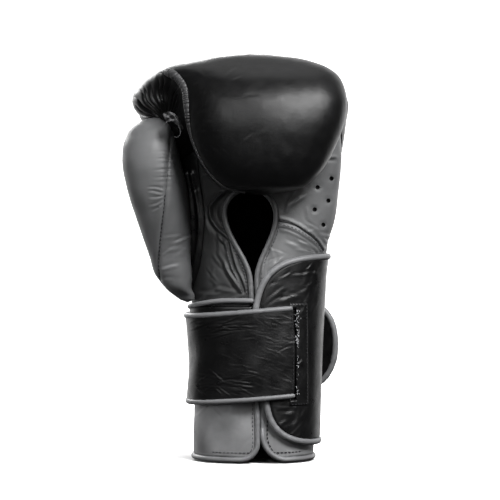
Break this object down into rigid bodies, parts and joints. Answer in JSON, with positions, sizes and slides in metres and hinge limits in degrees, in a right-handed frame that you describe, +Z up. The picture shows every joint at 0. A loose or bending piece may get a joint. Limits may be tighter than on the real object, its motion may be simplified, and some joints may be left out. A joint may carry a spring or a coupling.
{
  "type": "boxing glove",
  "caption": "Padded leather training glove with a curled fist pad, separate thumb, vented palm window and a wrap-round hook-and-loop wrist strap.",
  "frame": {"origin": "on the surface that the cuff stands on, under the middle of the glove's bounding box", "axes": "+Z up from the cuff to the knuckles, -Y the way the palm and the curled pad face, -X the thumb side"},
  "size_m": [0.1655, 0.1583, 0.2995],
  "materials": {
    "black_leather": "smooth glossy black leather",
    "grey_leather": "semi-matte charcoal grey leather",
    "piping": "satin grey edge binding",
    "lining_cloth": "matte dark woven lining",
    "foam": "open-cell foam",
    "loop_pile": "brushed loop pile",
    "hook_tape": "woven hook tape"
  },
  "bodies": {
    "mitt": {"hand_lining": "lining_cloth", "wrist_foam": "foam", "palm_foam": "foam", "back_of_hand_foam": "foam", "knuckle_foam": "foam", "knuckle_shell": "black_leather", "curl_foam": "foam", "curl_shell": "black_leather", "grip_bar": "foam", "palm_panel_thumb_side": "grey_leather", "palm_panel_vented": "grey_leather", "palm_panel_heel": "grey_leather", "thumb_gusset": "black_leather", "opening_binding": "piping", "slit_binding_left": "piping", "slit_binding_right": "piping", "cuff_panel_left": "grey_leather", "cuff_panel_right": "grey_leather", "cuff_panel_back": "black_leather", "cuff_hem_binding": "piping", "loop_patch": "loop_pile", "thumb_lock_tab": "black_leather"},
    "right_wing": {"wing_cover": "black_leather", "wing_foam": "foam", "wing_binding": "piping", "strap_slot_frame": "black_leather", "strap_anchor": "black_leather"},
    "left_wing": {"underlay_wing": "black_leather", "underlay_binding": "piping"},
    "strap_root": {"strap_front": "black_leather", "strap_front_piping_top": "piping", "strap_front_piping_bottom": "piping"},
    "strap_wrap": {"strap_side": "black_leather", "strap_side_piping_top": "piping", "strap_side_piping_bottom": "piping"},
    "strap_tail": {"strap_back": "black_leather", "strap_tip_piping": "piping", "hook_patch": "hook_tape"},
    "thumb": {"thumb_outer_shell": "grey_leather", "thumb_inner_shell": "grey_leather", "thumb_foam": "foam"}
  },
  "joints": [
    {"name": "right_wing_open", "type": "hinge", "parent": "mitt", "child": "right_wing", "pos_m": [0.06762, 0.01542, 0.0824], "axis": [0.0496, -0.0194, 0.9986], "range_deg": [0, 23]},
    {"name": "left_wing_open", "type": "hinge", "parent": "mitt", "child": "left_wing", "pos_m": [-0.03326, 0.01208, 0.08225], "axis": [0.0361, 0.0037, -0.9993], "range_deg": [0, 11.5]},
    {"name": "strap_front_lift", "type": "hinge", "parent": "right_wing", "child": "strap_root", "pos_m": [0.04304, -0.03058, 0.0806], "axis": [-0.013, 0.0075, 0.9999], "range_deg": [0, 37]},
    {"name": "strap_side_peel", "type": "hinge", "parent": "strap_root", "child": "strap_wrap", "pos_m": [-0.03212, -0.00977, 0.07633], "axis": [-0.0059, -0.0103, 0.9999], "range_deg": [0, 90]},
    {"name": "strap_tip_peel", "type": "hinge", "parent": "strap_wrap", "child": "strap_tail", "pos_m": [-0.0269, 0.04836, 0.0766], "axis": [0.0053, 0.0176, 0.9998], "range_deg": [0, 120]},
    {"name": "thumb_flex", "type": "hinge", "parent": "mitt", "child": "thumb", "pos_m": [-0.035, -0.004, 0.1215], "axis": [0, -1, 0], "range_deg": [0, 5], "stiffness_Nm_per_rad": 3}
  ],
  "couplings": [
    {"joint": "strap_front_lift", "follows": "strap_side_peel", "ratio": 0.4},
    {"joint": "right_wing_open", "follows": "strap_side_peel", "ratio": 0.25},
    {"joint": "left_wing_open", "follows": "strap_side_peel", "ratio": 0.12}
  ]
}
